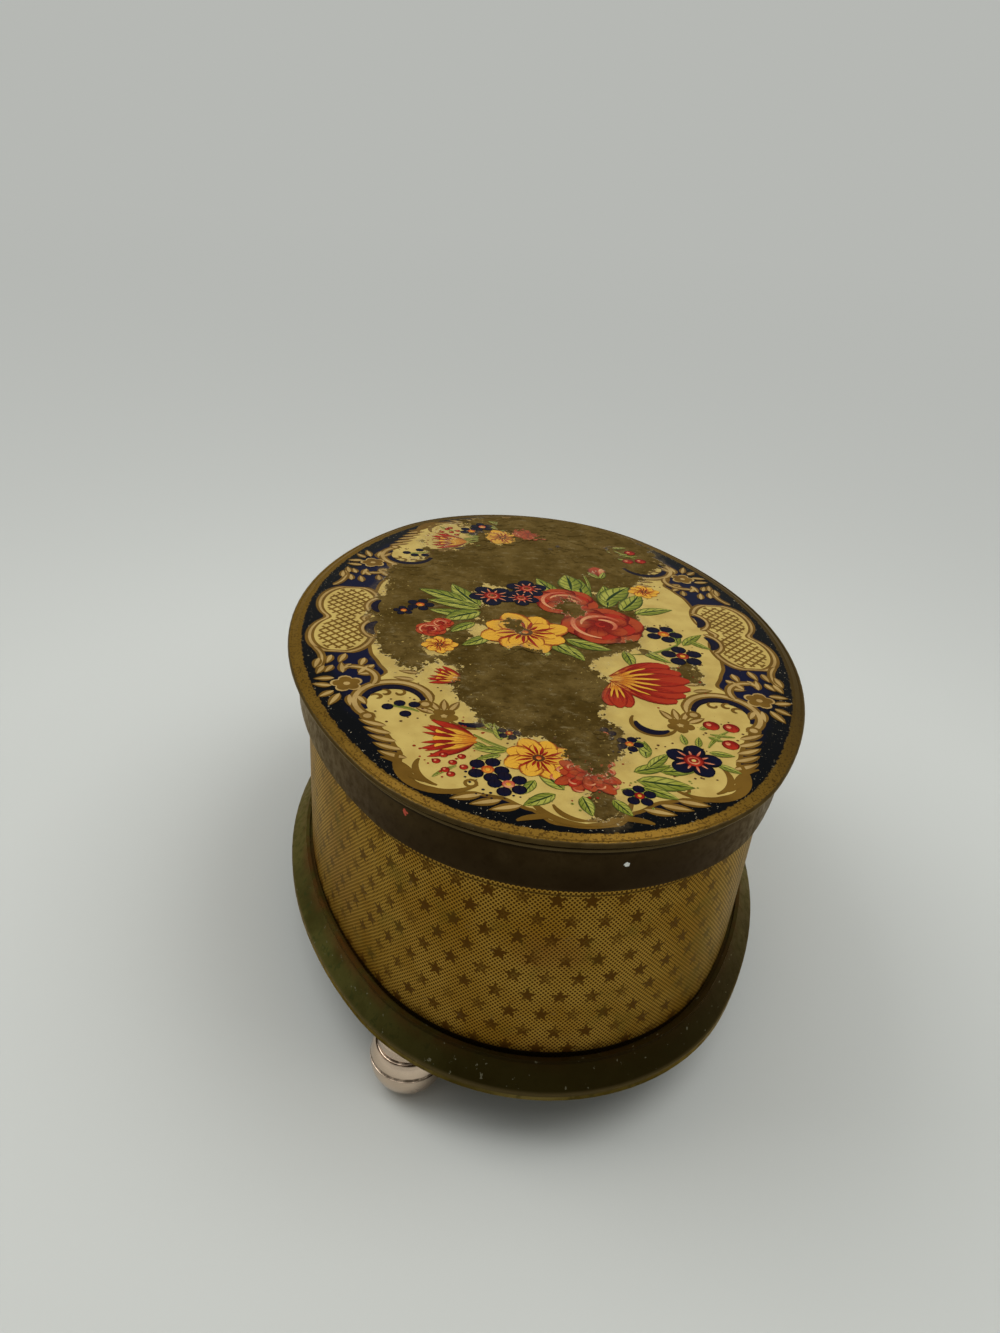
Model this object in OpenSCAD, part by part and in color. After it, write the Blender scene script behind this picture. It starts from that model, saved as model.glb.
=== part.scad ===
// Oval metal trinket box with a lift-off lid, standing on three turned ball feet.
// Millimetres, +Z up, origin on the floor under the middle of the box, X along the oval.

/* [Lid] */
// Length of the lid over its rolled edge
lid_length = 102; // [90:1:130]
// Width of the lid over its rolled edge
lid_width = 73.2; // [64:0.2:84]
// Width of the sloping shoulder round the printed panel
shoulder_w = 1.3; // [1:0.1:2]
// Height of the shoulder
shoulder_h = 0.6; // [0.4:0.05:1]
// Diameter of the rolled edge
roll_d = 0.8; // [0.6:0.05:1]
// How far the rolled edge stands out past the band
rim_overhang = 1.3; // [1.1:0.05:2]
// Height of the band below the rolled edge's centre
band_h = 7; // [5:0.1:12]
// Diameter of the thin bead round the band
band_bead_d = 0.6; // [0.4:0.05:0.8]
// Drop from the rolled edge's centre to the bead on the band
band_bead_drop = 1.4; // [1.2:0.1:3]

/* [Body] */
// Height of the wall
wall_h = 34.1; // [26:0.1:60]
// Diameter of the curl along the wall's top edge
curl_d = 1; // [0.8:0.05:1.6]
// Diameter of the stop bead that the lid comes down to
stop_bead_d = 0.7; // [0.4:0.05:0.9]
// Height of the floor's upturned rim
floor_rim_h = 3; // [2:0.1:6]

/* [Base] */
// How far the flange stands out past the wall
flange_out = 3.25; // [2.4:0.05:5]
// Height from the plate up to the wall's seat
flange_h = 2.8; // [2.4:0.1:5]
// Height of the flange's upright outer edge
flange_edge_h = 0.4; // [0.3:0.05:0.8]
// Height of the thin lip round the foot of the wall
lip_h = 0.6; // [0.4:0.05:1.5]
// Width of the seat under the wall and the floor
seat_w = 6; // [4:0.1:10]

/* [Sheet metal] */
// Thickness of the lid's sheet
lid_sheet = 0.5; // [0.3:0.05:0.6]
// Thickness of the wall and floor sheet
wall_sheet = 0.5; // [0.3:0.05:0.8]
// Thickness of the flange's sheet
flange_sheet = 0.5; // [0.3:0.05:0.6]
// Thickness of the base plate
plate_sheet = 0.6; // [0.4:0.05:1]

/* [Feet] */
// Diameter of the ball
foot_d = 9.9; // [8:0.1:12]
// Height of the whole foot
foot_h = 8.9; // [8.2:0.1:12]
// Height of the ball's centre
ball_z = 4.4; // [4.2:0.05:4.8]
// Diameter of the collar above the ball
collar_d = 8; // [6.5:0.1:9]
// Height of the collar
collar_h = 1.7; // [1:0.1:2]
// Diameter of the turned grooves
groove_d = 0.5; // [0.3:0.05:0.7]
// Height of the ball's groove above the ball's centre
ball_groove_rise = 0.75; // [0:0.05:1.2]
// How far in from the flange's edge the two end feet stand
foot_inset = 3.9; // [2.7:0.1:8]
// How far in from the flange's edge the side foot stands
side_foot_inset = 5; // [2.7:0.1:8]
// Angle of the two end feet from the oval's long axis
foot_angle = 40; // [25:1:50]

/* [Foot screws] */
// Diameter of the screws
screw_d = 2; // [1.4:0.1:2.2]
// Depth of a screw in its foot
screw_reach = 4.5; // [3:0.1:6]
// Diameter of the screw heads
head_d = 2.5; // [2.3:0.1:2.7]
// Height of the screw heads
head_h = 0.7; // [0.5:0.05:0.9]

/* [Clearances] */
// Gap between the lid's band and the wall
lid_clearance = 0.75; // [0.4:0.05:0.8]
// Gap between the lid's panel and the wall's curl
lid_seat_gap = 0.15; // [0.1:0.05:0.5]
// Drop from the band's lower edge to the top of the stop bead
band_stop_gap = 0.3; // [0.3:0.05:1]
// Gap between the wall and the flange's lip
lip_gap = 0.5; // [0.4:0.05:0.8]
// Gap round the floor inside the wall
floor_gap = 0.05; // [0.03:0.01:0.2]
// Gap round a screw in its holes
screw_gap = 0.1; // [0.05:0.05:0.2]

/* [Hidden] */
$fn = 96;

// The oval is four arcs that meet smoothly, measured at the lid's rolled edge.
// Their centres stand on a triangle of sides 3, 4 and 5, the old way to set out an oval.
half_length = lid_length / 2;
half_width = lid_width / 2;
oval_unit = (half_length - half_width) / 2;
end_x = 3 * oval_unit;
side_y = 4 * oval_unit;
end_r = half_length - end_x;
side_r = end_r + 5 * oval_unit;
join_angle = atan2(4, 3);
// Neighbouring quarter arcs overlap by this angle on the axes
arc_lap = 1;

// Plates are filled by a core block inside the four arcs
core_r = 2;
core_lap = 1;
plate_reach = end_r - core_r;

// Places across the sheet, out from the rolled edge (negative is inward)
band_u = -rim_overhang;
wall_u = band_u - lid_sheet - lid_clearance;
floor_u = wall_u - wall_sheet - floor_gap;
lip_u = wall_u + lip_gap;
slope_u = lip_u + flange_sheet;
flange_u = wall_u + flange_out;
seat_u = wall_u - seat_w;
foot_u = flange_u - foot_inset;
side_foot_u = flange_u - side_foot_inset;

// Heights from the floor
plate_z = foot_h;
flange_z = plate_z + plate_sheet;
seat_z = flange_z + flange_h;
wall_top_z = seat_z + wall_h;
panel_z = wall_top_z + lid_seat_gap;
roll_z = panel_z + lid_sheet - shoulder_h;
band_z = roll_z - band_h;
stop_z = band_z - band_stop_gap - stop_bead_d / 2;

// The flange's inner face runs parallel to its slope, one sheet inside
slope_run = flange_u - slope_u;
slope_fall = flange_h - flange_edge_h;
slope_length = norm([slope_run, slope_fall]);
inner_edge_z = seat_z - (flange_sheet * slope_length + (slope_run - flange_sheet) * slope_fall) / slope_run;
inner_slope_u = slope_u + flange_sheet * (slope_run - slope_length) / slope_fall;

// The ball's top meets the collar at this height
collar_z = foot_h - collar_h;
collar_edge = 0.3;

// Two feet stand on the end arcs of one long side, one at the middle of the other
foot_places = [
    [end_x + (end_r + foot_u) * cos(foot_angle), -(end_r + foot_u) * sin(foot_angle)],
    [-end_x - (end_r + foot_u) * cos(foot_angle), -(end_r + foot_u) * sin(foot_angle)],
    [0, half_width + side_foot_u]
];

// Sweeps a flat section round the oval, with x = 0 of the section at the rolled edge.
// Each quarter has half an end arc and half a side arc, mirrored about both axes.
module oval_sweep() {
    for (flip_x = [0, 1], flip_y = [0, 1])
        mirror([flip_x, 0, 0])
            mirror([0, flip_y, 0]) {
                translate([end_x, 0, 0])
                    rotate(-join_angle)
                        rotate_extrude(angle = join_angle + arc_lap)
                            translate([end_r, 0])
                                children();
                translate([0, -side_y, 0])
                    rotate(join_angle)
                        rotate_extrude(angle = 90 - join_angle + arc_lap)
                            translate([side_r, 0])
                                children();
            }
}

// Fills the middle that a swept plate leaves open
module oval_core(z, thickness) {
    core_x = end_x + core_r + core_lap;
    core_y = half_width - plate_reach + core_lap;
    translate([-core_x, -core_y, z])
        cube([2 * core_x, 2 * core_y, thickness]);
}

// Flat oval plate out to edge_u from the rolled edge
module oval_plate(edge_u, z, thickness) {
    oval_sweep()
        translate([-plate_reach, z])
            square([plate_reach + edge_u, thickness]);
    oval_core(z, thickness);
}

// Printed top of the lid: flat panel, sloping shoulder and rolled edge
module lid_panel() {
    top_z = panel_z + lid_sheet;
    color("darkkhaki") {
        oval_sweep() {
            polygon([
                [-plate_reach, panel_z],
                [-shoulder_w - lid_sheet / 2, panel_z],
                [-roll_d, roll_z - roll_d / 4],
                [-roll_d / 4, roll_z + roll_d / 4],
                [-shoulder_w, top_z],
                [-plate_reach, top_z]
            ]);
            translate([-roll_d / 2, roll_z])
                circle(d = roll_d);
        }
        oval_core(panel_z, lid_sheet);
    }
}

// Skirt of the lid: plain band with one thin bead
module lid_band() {
    color("darkolivegreen")
        oval_sweep() {
            translate([band_u - lid_sheet, band_z])
                square([lid_sheet, panel_z - band_z - lid_sheet / 2]);
            translate([band_u, roll_z - band_bead_drop])
                circle(d = band_bead_d);
        }
}

// Printed wall with a curl along its top edge and the lid's stop bead
module body_wall() {
    color("goldenrod")
        oval_sweep() {
            translate([wall_u - wall_sheet, seat_z])
                square([wall_sheet, wall_h - curl_d / 2]);
            translate([wall_u - curl_d / 2, wall_top_z - curl_d / 2])
                circle(d = curl_d);
            translate([wall_u, stop_z])
                circle(d = stop_bead_d);
        }
}

// Pressed floor with an upturned rim inside the wall: a shallow pan, hollowed from above
module body_floor() {
    color("darkgoldenrod")
        difference() {
            oval_plate(floor_u, seat_z, floor_rim_h);
            oval_plate(floor_u - wall_sheet, seat_z + wall_sheet, floor_rim_h);
        }
}

// Pressed flange: thin lip, sloping face, upright edge and the seat under the wall
module base_flange() {
    color("olive")
        oval_sweep()
            polygon([
                [lip_u, seat_z + lip_h],
                [slope_u, seat_z + lip_h],
                [slope_u, seat_z],
                [flange_u, flange_z + flange_edge_h],
                [flange_u, flange_z],
                [flange_u - flange_sheet, flange_z],
                [flange_u - flange_sheet, inner_edge_z],
                [inner_slope_u, seat_z - flange_sheet],
                [seat_u, seat_z - flange_sheet],
                [seat_u, seat_z],
                [lip_u, seat_z]
            ]);
}

// Flat plate under the flange, drilled for the foot screws
module base_plate() {
    color("olivedrab")
        difference() {
            oval_plate(flange_u, plate_z, plate_sheet);
            for (place = foot_places)
                translate([place.x, place.y, plate_z - plate_sheet])
                    cylinder(d = screw_d + 2 * screw_gap, h = 3 * plate_sheet);
        }
}

// Turned ball foot with a flat underside, two grooves, a collar and a screw hole
module foot(place) {
    ball_groove_r = sqrt(pow(foot_d / 2, 2) - pow(ball_groove_rise, 2));
    hole_depth = screw_reach + screw_d / 2;
    color("rosybrown")
        translate([place.x, place.y, 0])
            difference() {
                rotate_extrude()
                    difference() {
                        union() {
                            intersection() {
                                translate([0, ball_z])
                                    circle(d = foot_d);
                                square([foot_d, collar_z]);
                            }
                            translate([0, ball_z])
                                square([collar_d / 2 - collar_edge, foot_h - ball_z]);
                            translate([0, collar_z + collar_edge])
                                square([collar_d / 2, collar_h - 2 * collar_edge]);
                            for (z = [collar_z + collar_edge, foot_h - collar_edge])
                                translate([collar_d / 2 - collar_edge, z])
                                    circle(r = collar_edge);
                        }
                        translate([ball_groove_r + groove_d / 4, ball_z + ball_groove_rise])
                            circle(d = groove_d);
                        translate([collar_d / 2 + groove_d / 4, collar_z])
                            circle(d = groove_d);
                        translate([-foot_d, 0])
                            square([foot_d, foot_h]);
                    }
                translate([0, 0, foot_h - hole_depth])
                    cylinder(d = screw_d + 2 * screw_gap, h = 2 * hole_depth);
            }
}

module foot_front() {
    foot(foot_places[0]);
}

module foot_back() {
    foot(foot_places[1]);
}

module foot_side() {
    foot(foot_places[2]);
}

// Pan-head screws from the plate down into the feet
module foot_screws() {
    color("silver")
        for (place = foot_places)
            translate([place.x, place.y, 0]) {
                translate([0, 0, flange_z])
                    cylinder(d = head_d, h = head_h);
                translate([0, 0, plate_z - screw_reach])
                    cylinder(d = screw_d, h = screw_reach + plate_sheet + head_h / 2);
            }
}

lid_panel();
lid_band();
body_wall();
body_floor();
base_flange();
base_plate();
foot_front();
foot_back();
foot_side();
foot_screws();
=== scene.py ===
import itertools
import random
from math import atan2, cos, degrees, hypot, pi, radians, sin, sqrt, tau

import bmesh
import bpy
from mathutils import Matrix, Vector


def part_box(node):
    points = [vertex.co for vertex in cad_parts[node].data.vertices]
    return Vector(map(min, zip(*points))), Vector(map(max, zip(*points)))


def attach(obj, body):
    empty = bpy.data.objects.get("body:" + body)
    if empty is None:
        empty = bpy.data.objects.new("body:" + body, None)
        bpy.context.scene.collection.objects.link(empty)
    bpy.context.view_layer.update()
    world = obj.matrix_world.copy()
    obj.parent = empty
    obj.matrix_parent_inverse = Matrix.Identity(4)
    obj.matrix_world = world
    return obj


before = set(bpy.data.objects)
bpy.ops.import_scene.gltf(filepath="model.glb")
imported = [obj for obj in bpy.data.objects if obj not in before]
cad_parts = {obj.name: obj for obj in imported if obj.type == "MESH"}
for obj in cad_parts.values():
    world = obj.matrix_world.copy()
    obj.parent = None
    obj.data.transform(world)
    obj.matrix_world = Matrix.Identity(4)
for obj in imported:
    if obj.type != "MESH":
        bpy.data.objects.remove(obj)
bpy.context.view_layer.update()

# Camera
# It stands close to one end of the oval, a little to the left, tipped down and slightly rolled.
# Its place, aim and roll come from a fit to the lid's rim, the wall's foot and the flange's edge.
MM = 0.001
photo_long_side = 1333
focal_px = 850
sensor = 36
camera_place = Vector((115.3, -16.4, 100.1)) * MM
camera_aim = Vector((0.9, -5.65, 39.4)) * MM
camera_roll = radians(5.07)
scene = bpy.context.scene
camera = bpy.data.objects.new("camera", bpy.data.cameras.new("camera"))
scene.collection.objects.link(camera)
camera.data.sensor_width = sensor
camera.data.lens = sensor * focal_px / photo_long_side
camera.data.clip_start = 10 * MM
gaze = (camera_aim - camera_place).to_track_quat("-Z", "Y").to_matrix().to_4x4()
camera.matrix_world = Matrix.Translation(camera_place) @ gaze @ Matrix.Rotation(camera_roll, 4, "Z")
scene.camera = camera


# Feet
# Three ball feet turned from brass, plated a pale rose gold and polished, each held by one screw.
# Dirt has stayed in the two turned grooves, and handling has dulled the ball in patches.
def wire(tree, value, socket):
    """Links a socket to another or sets its value. A colour is given as red, green and blue."""
    if isinstance(value, bpy.types.NodeSocket):
        tree.links.new(value, socket)
    elif socket.type == "RGBA":
        socket.default_value = (*value, 1.0)
    else:
        socket.default_value = value


def feed(tree, node, inputs):
    for name, value in inputs.items():
        wire(tree, value, node.inputs[name])


def shade(tree, kind, inputs, **settings):
    node = tree.nodes.new("ShaderNode" + kind)
    for name, value in settings.items():
        setattr(node, name, value)
    feed(tree, node, inputs)
    return node


def calc(tree, operation, *values):
    node = shade(tree, "Math", {}, operation=operation)
    for socket, value in zip(node.inputs, values):
        wire(tree, value, socket)
    return node.outputs[0]


def times(tree, first, second):
    return calc(tree, "MULTIPLY", first, second)


def minus(tree, first, second):
    return calc(tree, "SUBTRACT", first, second)


def apart(tree, value, middle):
    """How far a value is from a middle one."""
    return calc(tree, "ABSOLUTE", minus(tree, value, middle))


def fade(tree, value, start, end, low=0.0, high=1.0):
    """Smooth step from low at start to high at end."""
    inputs = {"Value": value, "From Min": start, "From Max": end, "To Min": low, "To Max": high}
    return shade(tree, "MapRange", inputs, interpolation_type="SMOOTHSTEP").outputs[0]


def tint(tree, factor, first, second):
    """The first colour, going over to the second as the factor goes from 0 to 1."""
    return shade(tree, "Mix", {0: factor, 6: first, 7: second}, data_type="RGBA").outputs[2]


def grain(tree, place, scale, detail=3.0, roughness=0.55):
    inputs = {"Vector": place, "Scale": scale, "Detail": detail, "Roughness": roughness}
    return shade(tree, "TexNoise", inputs).outputs[0]


def millimetres(tree):
    """Object coordinates, counted in millimetres."""
    coordinates = shade(tree, "TexCoord", {}).outputs["Object"]
    return shade(tree, "VectorMath", {0: coordinates, "Scale": 1 / MM}, operation="SCALE").outputs[0]


def axes(tree, place):
    return shade(tree, "SeparateXYZ", {0: place}).outputs


def new_finish(name):
    material = bpy.data.materials.new(name)
    material.use_nodes = True
    return material, material.node_tree, material.node_tree.nodes["Principled BSDF"]


def dress(node_name, material):
    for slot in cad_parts[node_name].material_slots:
        slot.material = material


groove_heights = (5.15, 7.2)
groove_edge = 0.42
groove_core = 0.12
foot_metal, tree, shader = new_finish("rose_gold_plate")
place = millimetres(tree)
height = axes(tree, place)[2]
patches = grain(tree, place, 0.35)
plate_colour = tint(tree, patches, (0.74, 0.58, 0.44), (0.58, 0.45, 0.34))
grooves = [fade(tree, apart(tree, height, groove), groove_edge, groove_core) for groove in groove_heights]
dirt = calc(tree, "MAXIMUM", *grooves)
dirt = times(tree, dirt, fade(tree, grain(tree, place, 1.1), 0.35, 0.6, 0.35, 0.9))
feed(tree, shader, {
    "Base Color": tint(tree, dirt, plate_colour, (0.045, 0.025, 0.012)),
    "Roughness": fade(tree, patches, 0.3, 0.75, 0.14, 0.3),
    "Metallic": 1.0,
})
for foot in ("foot_front", "foot_back", "foot_side"):
    dress(foot, foot_metal)


# Foot screws
# Small pan-head screws of plain steel. They go down through the base plate into the feet,
# so the closed base hides them.
screw_steel, tree, shader = new_finish("screw_steel")
steel_grain = grain(tree, millimetres(tree), 2.0)
feed(tree, shader, {
    "Base Color": tint(tree, steel_grain, (0.5, 0.5, 0.5), (0.62, 0.6, 0.57)),
    "Roughness": fade(tree, steel_grain, 0.3, 0.7, 0.3, 0.45),
    "Metallic": 1.0,
})
dress("foot_screws", screw_steel)


# Base plate and flange
# Pressed brass sheet that has gone dark olive brown, with greener and redder clouds in the tarnish.
# The flange has a rusty line in the corner under its lip. Painted shade darkens it towards the front right,
# and its lower outer edge is lighter, partly from rubbing and partly as a painted highlight.
# The plate closes it underneath and carries the feet.
def group(name, outputs, colours=()):
    """A node group that takes a place and some colours. Its outputs are values, but Color is a colour."""
    tree = bpy.data.node_groups.new(name, "ShaderNodeTree")
    sockets = [("INPUT", "Place", "Vector")]
    sockets += [("INPUT", colour, "Color") for colour in colours]
    sockets += [("OUTPUT", output, "Color" if output == "Color" else "Float") for output in outputs]
    for way, socket, kind in sockets:
        tree.interface.new_socket(name=socket, in_out=way, socket_type="NodeSocket" + kind)
    return tree, tree.nodes.new("NodeGroupInput"), tree.nodes.new("NodeGroupOutput")


def use_group(tree, node_tree, place, **colours):
    return shade(tree, "Group", {"Place": place, **colours}, node_tree=node_tree)


tree, entry, leave = group("brass_tarnish", ("Color", "Roughness", "Relief"), ("Bright", "Dark", "Stain"))
tarnish = tree
clouds = grain(tree, entry.outputs["Place"], 0.16, 5.0, 0.6)
spots = grain(tree, entry.outputs["Place"], 0.9, 4.0, 0.65)
metal = tint(tree, fade(tree, clouds, 0.36, 0.64), entry.outputs["Dark"], entry.outputs["Bright"])
stained = fade(tree, spots, 0.52, 0.68, 0.0, 0.7)
feed(tree, leave, {
    "Color": tint(tree, stained, metal, entry.outputs["Stain"]),
    "Roughness": fade(tree, spots, 0.3, 0.7, 0.3, 0.52),
    "Relief": spots,
})


def tarnished_brass(name, bright, dark, stain, metallic):
    material, tree, shader = new_finish(name)
    place = millimetres(tree)
    metal = use_group(tree, tarnish, place, Bright=bright, Dark=dark, Stain=stain)
    bump = shade(tree, "Bump", {"Height": metal.outputs["Relief"], "Strength": 0.12, "Distance": 0.05 * MM})
    feed(tree, shader, {
        "Base Color": metal.outputs["Color"],
        "Roughness": metal.outputs["Roughness"],
        "Normal": bump.outputs[0],
        "Metallic": metallic,
        "Specular IOR Level": 0.12,
        "Specular Tint": (1.0, 0.74, 0.32),
    })
    return material, tree, shader, place, metal


flange_brass, tree, shader, place, metal = tarnished_brass(
    "flange_brass", (0.066, 0.061, 0.014), (0.034, 0.031, 0.005), (0.021, 0.032, 0.007), 0.55)
along, across, height = axes(tree, place)
half_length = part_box("lid_panel")[1][0] / MM
lip_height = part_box("base_flange")[1][2] / MM
rust_start = lip_height - 1.9
rust_full = lip_height - 0.3
rub_reach = 0.35
rust = fade(tree, height, rust_start, rust_full)
rust = times(tree, rust, fade(tree, grain(tree, place, 0.3, 5.0), 0.36, 0.62, 0.15, 0.9))
flange_colour = tint(tree, rust, metal.outputs["Color"], (0.075, 0.034, 0.008))
# Painted shade: the flange goes darker towards the front right.
front_right = calc(tree, "MULTIPLY_ADD", across, 0.4, along)
front_shade = fade(tree, front_right, 17.0, half_length, 0.0, 0.9)
flange_colour = tint(tree, front_shade, flange_colour, (0.0105, 0.0062, 0.0008))
flecks = fade(tree, grain(tree, place, 1.3, 3.0), 0.68, 0.71, 0.0, 0.6)
flange_colour = tint(tree, flecks, flange_colour, (0.16, 0.15, 0.1))
# Painted highlight, partly rubbed wear too: lighter along the flange's lower outer edge.
edge_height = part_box("base_flange")[0][2] / MM + rub_reach
rubbed_edge_highlight = fade(tree, height, edge_height + rub_reach, edge_height, 0.0, 0.45)
feed(tree, shader, {"Base Color": tint(tree, rubbed_edge_highlight, flange_colour, (0.12, 0.085, 0.035))})
dress("base_flange", flange_brass)

plate_brass = tarnished_brass(
    "plate_brass", (0.15, 0.115, 0.04), (0.06, 0.044, 0.012), (0.045, 0.038, 0.012), 0.95)
dress("base_plate", plate_brass[0])

# Floor inside the box
# The pressed pan that closes the wall, with its upturned rim soldered inside the wall's foot.
# It is plain brass that has only dulled, as it is out of the light.
floor_brass = tarnished_brass(
    "floor_brass", (0.36, 0.27, 0.11), (0.22, 0.155, 0.06), (0.14, 0.1, 0.045), 0.8)
dress("body_floor", floor_brass[0])

# Wall
# One strip of tinplate rolled to the oval, printed in gold with staggered rows of small brown stars
# over a fine diagonal mesh. The inside and the curled edge are plain. A painted shade line lies under the
# stop bead, and painted shade darkens the corner above the flange and the right side of the wall.
half_width = (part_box("lid_band")[1][1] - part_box("lid_band")[0][1]) / 2 / MM
half_width += half_length - (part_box("lid_band")[1][0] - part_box("lid_band")[0][0]) / 2 / MM
oval_unit = (half_length - half_width) / 2
end_x = 3 * oval_unit
side_y = 4 * oval_unit
end_r = half_length - end_x
side_r = end_r + 5 * oval_unit
join_angle = atan2(4, 3)
end_run = end_r * join_angle
side_run = side_r * (pi / 2 - join_angle)
quarter_run = end_run + side_run

tree, entry, leave = group("oval_place", ("Run", "Inset", "Height"))
oval_place = tree
x, y, height = axes(tree, entry.outputs["Place"])
from_middle = calc(tree, "ABSOLUTE", x)
from_axis = calc(tree, "ABSOLUTE", y)
from_end = minus(tree, from_middle, end_x)
from_side = calc(tree, "ADD", from_axis, side_y)
end_turn = calc(tree, "ARCTAN2", from_axis, from_end)
side_turn = calc(tree, "ARCTAN2", from_side, from_middle)
on_end = calc(tree, "LESS_THAN", end_turn, join_angle)


def length(tree, a, b):
    return calc(tree, "SQRT", calc(tree, "ADD", calc(tree, "POWER", a, 2.0), calc(tree, "POWER", b, 2.0)))


def pick(tree, choice, when_true, when_false):
    return shade(tree, "Mix", {0: choice, 2: when_false, 3: when_true}, data_type="FLOAT").outputs[0]


end_along = times(tree, end_turn, end_r)
side_along = calc(tree, "MULTIPLY_ADD", minus(tree, side_turn, join_angle), side_r, end_run)
end_inset = minus(tree, end_r, length(tree, from_axis, from_end))
side_inset = minus(tree, side_r, length(tree, from_side, from_middle))
feed(tree, leave, {
    "Run": pick(tree, on_end, end_along, side_along),
    "Inset": pick(tree, on_end, end_inset, side_inset),
    "Height": height,
})


def in_cell(tree, place, pitch):
    """How far a place, counted in cells, is from the middle of its cell."""
    return times(tree, minus(tree, calc(tree, "FRACT", place), 0.5), pitch)


def crests(tree, value, turns):
    return calc(tree, "ABSOLUTE", calc(tree, "SINE", times(tree, value, turns)))


stars_per_quarter = 17
star_pitch = quarter_run / stars_per_quarter
star_rows = 2.9
star_r = 1.32
star_notch_r = 0.5
mesh_pitch = 0.43
mesh_turns = pi / mesh_pitch / sqrt(2)
seat_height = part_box("body_wall")[0][2] / MM
band_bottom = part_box("lid_band")[0][2] / MM
print_top = band_bottom - 1.7
wall_print, tree, shader = new_finish("star_print")
place = millimetres(tree)
run, inset, height = use_group(tree, oval_place, place).outputs
row_place = calc(tree, "DIVIDE", minus(tree, height, seat_height), star_rows)
shift = times(tree, calc(tree, "MODULO", calc(tree, "FLOOR", row_place), 2.0), 0.5)
column_place = calc(tree, "ADD", calc(tree, "DIVIDE", run, star_pitch), shift)
star_x = in_cell(tree, column_place, star_pitch)
star_y = in_cell(tree, row_place, star_rows)
point_turn = tau / 5
turn = calc(tree, "ABSOLUTE", calc(tree, "ARCTAN2", star_x, star_y))
from_point = calc(tree, "PINGPONG", turn, point_turn / 2)
notch_side = calc(tree, "SINE", minus(tree, point_turn / 2, from_point))
point_side = times(tree, calc(tree, "SINE", from_point), star_r)
slope = calc(tree, "MULTIPLY_ADD", notch_side, star_notch_r, point_side)
star_edge = calc(tree, "DIVIDE", star_r * star_notch_r * sin(point_turn / 2), slope)
star = fade(tree, minus(tree, length(tree, star_x, star_y), star_edge), 0.1, -0.06)
uphill = calc(tree, "ADD", run, height)
downhill = minus(tree, run, height)
weave = times(tree, crests(tree, uphill, mesh_turns), crests(tree, downhill, mesh_turns))
clouds = grain(tree, place, 0.09, 4.0)
gold = tint(tree, fade(tree, clouds, 0.35, 0.65), (0.29, 0.145, 0.011), (0.395, 0.232, 0.036))
copper = fade(tree, grain(tree, place, 0.06, 5.0, 0.6), 0.47, 0.68, 0.0, 0.75)
gold = tint(tree, copper, gold, (0.25, 0.107, 0.016))
printed = tint(tree, fade(tree, weave, 0.3, 0.62), gold, (0.052, 0.02, 0.0006))
star_ink = times(tree, star, fade(tree, grain(tree, place, 0.25), 0.3, 0.55, 0.35, 1.0))
printed = tint(tree, star_ink, printed, (0.078, 0.03, 0.0015))
olive = fade(tree, grain(tree, place, 0.13, 6.0, 0.68), 0.53, 0.7, 0.0, 0.45)
printed = tint(tree, olive, printed, (0.1, 0.075, 0.008))
worn = fade(tree, grain(tree, place, 0.5, 6.0, 0.7), 0.6, 0.74, 0.0, 0.5)
printed = tint(tree, worn, printed, (0.2, 0.13, 0.05))
# Painted shade: a dark line under the stop bead.
stop_bead_shade = fade(tree, apart(tree, height, print_top), 0.2, 0.08, 0.0, 0.75)
printed = tint(tree, stop_bead_shade, printed, (0.05, 0.024, 0.003))
plain = tint(tree, fade(tree, clouds, 0.35, 0.65), (0.34, 0.25, 0.115), (0.21, 0.15, 0.064))
wall_inset = half_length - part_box("body_wall")[1][0] / MM
inner_face = wall_inset + 0.75
outer_face = wall_inset + 0.65
outside = fade(tree, inset, inner_face, outer_face)
along, across, _ = axes(tree, place)
# Painted shade: the wall goes darker on its right side, towards the front.
right_side_shade = times(tree, fade(tree, across, 15.0, 29.0, 0.0, 0.5), fade(tree, along, 0.0, 20.0))
printed = tint(tree, right_side_shade, printed, (0.075, 0.045, 0.014))
# Painted shade: a dark line in the corner above the flange.
corner_shade_top = lip_height + 0.42
corner_shade_full = lip_height + 0.22
corner_shade = fade(tree, height, corner_shade_top, corner_shade_full, 0.0, 0.95)
printed = tint(tree, corner_shade, printed, (0.006, 0.004, 0.002))
bump = shade(tree, "Bump", {"Height": weave, "Strength": 0.15, "Distance": 0.04 * MM}, invert=True)
feed(tree, shader, {
    "Base Color": tint(tree, outside, plain, printed),
    "Roughness": fade(tree, weave, 0.2, 0.8, 0.36, 0.52),
    "Normal": bump.outputs[0],
    "Metallic": 0.7,
    "Specular IOR Level": 0.15,
    "Specular Tint": (1.0, 0.8, 0.42),
})
dress("body_wall", wall_print)

# Lid band
# The lid's plain brass skirt, a strip rolled with one thin bead and held under the panel's rolled edge.
# It is tarnished dark brown, with painted shade that darkens it towards the front and more in the lower half
# there, painted shade lines beside the bead, a painted highlight on the bead's crest and a lighter lower edge
# that is partly rubbed and partly a painted highlight. Two drops of paint have dried on it.
band_brass, tree, shader, place, metal = tarnished_brass(
    "band_brass", (0.09, 0.06, 0.024), (0.064, 0.04, 0.014), (0.045, 0.027, 0.009), 0.45)
along, _, height = axes(tree, place)
# Painted shade: the band goes darker towards the front.
front_shade = fade(tree, along, 8.0, half_length - 6.0, 0.0, 0.92)
front_shade = times(tree, front_shade, fade(tree, grain(tree, place, 0.14, 4.0), 0.35, 0.6, 0.72, 1.0))
band_colour = tint(tree, front_shade, metal.outputs["Color"], (0.016, 0.0072, 0.0008))
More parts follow.
